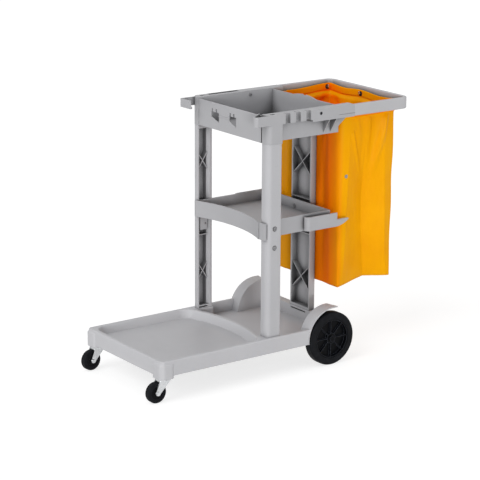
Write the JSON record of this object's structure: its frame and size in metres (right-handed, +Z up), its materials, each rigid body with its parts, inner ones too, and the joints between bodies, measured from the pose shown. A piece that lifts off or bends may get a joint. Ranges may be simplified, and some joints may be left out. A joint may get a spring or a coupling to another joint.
{
  "type": "janitorial cart",
  "caption": "Janitorial cart with a moulded platform, ribbed uprights, a shelf, a tray and a looped push frame with a hanging waste bag, on large rear wheels and swivel casters.",
  "frame": {"origin": "centre of the cart's footprint on the floor", "axes": "+Z up, +X towards the push bar and the bag, +Y to the right of the person pushing"},
  "size_m": [1.167, 0.506, 0.9799],
  "materials": {
    "grey_plastic": "satin moulded",
    "black_plastic": "satin moulded",
    "tyre_rubber": "matte",
    "zinc_steel": "bright zinc plated",
    "dark_steel": "blackened",
    "bag_vinyl": "coated, soft sheen",
    "nylon": "satin"
  },
  "bodies": {
    "frame": {"base_platform": "grey_plastic", "front_upright_left": "grey_plastic", "front_upright_right": "grey_plastic", "rear_upright": "grey_plastic", "middle_shelf": "grey_plastic", "top_tray": "grey_plastic", "bag_frame": "grey_plastic", "waste_bag": "bag_vinyl", "bag_hooks": "zinc_steel", "bag_eyelets": "zinc_steel", "bag_stud": "zinc_steel", "rear_axle": "zinc_steel", "axle_spacers": "black_plastic", "axle_caps": "black_plastic", "upright_bolts": "zinc_steel", "shelf_screw": "dark_steel", "frame_bolts": "dark_steel", "frame_nuts": "dark_steel", "caster_plate_left": "zinc_steel", "caster_screws_left": "dark_steel", "caster_plate_right": "zinc_steel", "caster_screws_right": "dark_steel"},
    "rear_wheel_left": {"rear_wheel_left": "black_plastic", "rear_tyre_left": "tyre_rubber", "rear_bush_left": "nylon"},
    "rear_wheel_right": {"rear_wheel_right": "black_plastic", "rear_tyre_right": "tyre_rubber", "rear_bush_right": "nylon"},
    "caster_fork_left": {"caster_fork_left": "zinc_steel", "caster_bearing_left": "black_plastic", "caster_bolt_left": "zinc_steel", "caster_nut_left": "zinc_steel"},
    "caster_wheel_left": {"caster_wheel_left": "black_plastic", "caster_tyre_left": "tyre_rubber", "caster_bush_left": "nylon"},
    "caster_fork_right": {"caster_fork_right": "zinc_steel", "caster_bearing_right": "black_plastic", "caster_bolt_right": "zinc_steel", "caster_nut_right": "zinc_steel"},
    "caster_wheel_right": {"caster_wheel_right": "black_plastic", "caster_tyre_right": "tyre_rubber", "caster_bush_right": "nylon"}
  },
  "joints": [
    {"name": "rear_wheel_left_spin", "type": "hinge", "parent": "frame", "child": "rear_wheel_left", "pos_m": [0.2208, -0.233, 0.1016], "axis": [0, 1, 0], "continuous": true},
    {"name": "rear_wheel_right_spin", "type": "hinge", "parent": "frame", "child": "rear_wheel_right", "pos_m": [0.2208, 0.233, 0.1016], "axis": [0, 1, 0], "continuous": true},
    {"name": "caster_left_swivel", "type": "hinge", "parent": "frame", "child": "caster_fork_left", "pos_m": [-0.512, -0.2195, 0.085], "axis": [0, 0, 1], "continuous": true},
    {"name": "caster_left_roll", "type": "hinge", "parent": "caster_fork_left", "child": "caster_wheel_left", "pos_m": [-0.545, -0.2195, 0.0381], "axis": [0, 1, 0], "continuous": true},
    {"name": "caster_right_swivel", "type": "hinge", "parent": "frame", "child": "caster_fork_right", "pos_m": [-0.512, 0.2195, 0.085], "axis": [0, 0, 1], "continuous": true},
    {"name": "caster_right_roll", "type": "hinge", "parent": "caster_fork_right", "child": "caster_wheel_right", "pos_m": [-0.54482, 0.21605, 0.0381], "axis": [-0.1045, 0.9945, 0], "continuous": true}
  ]
}
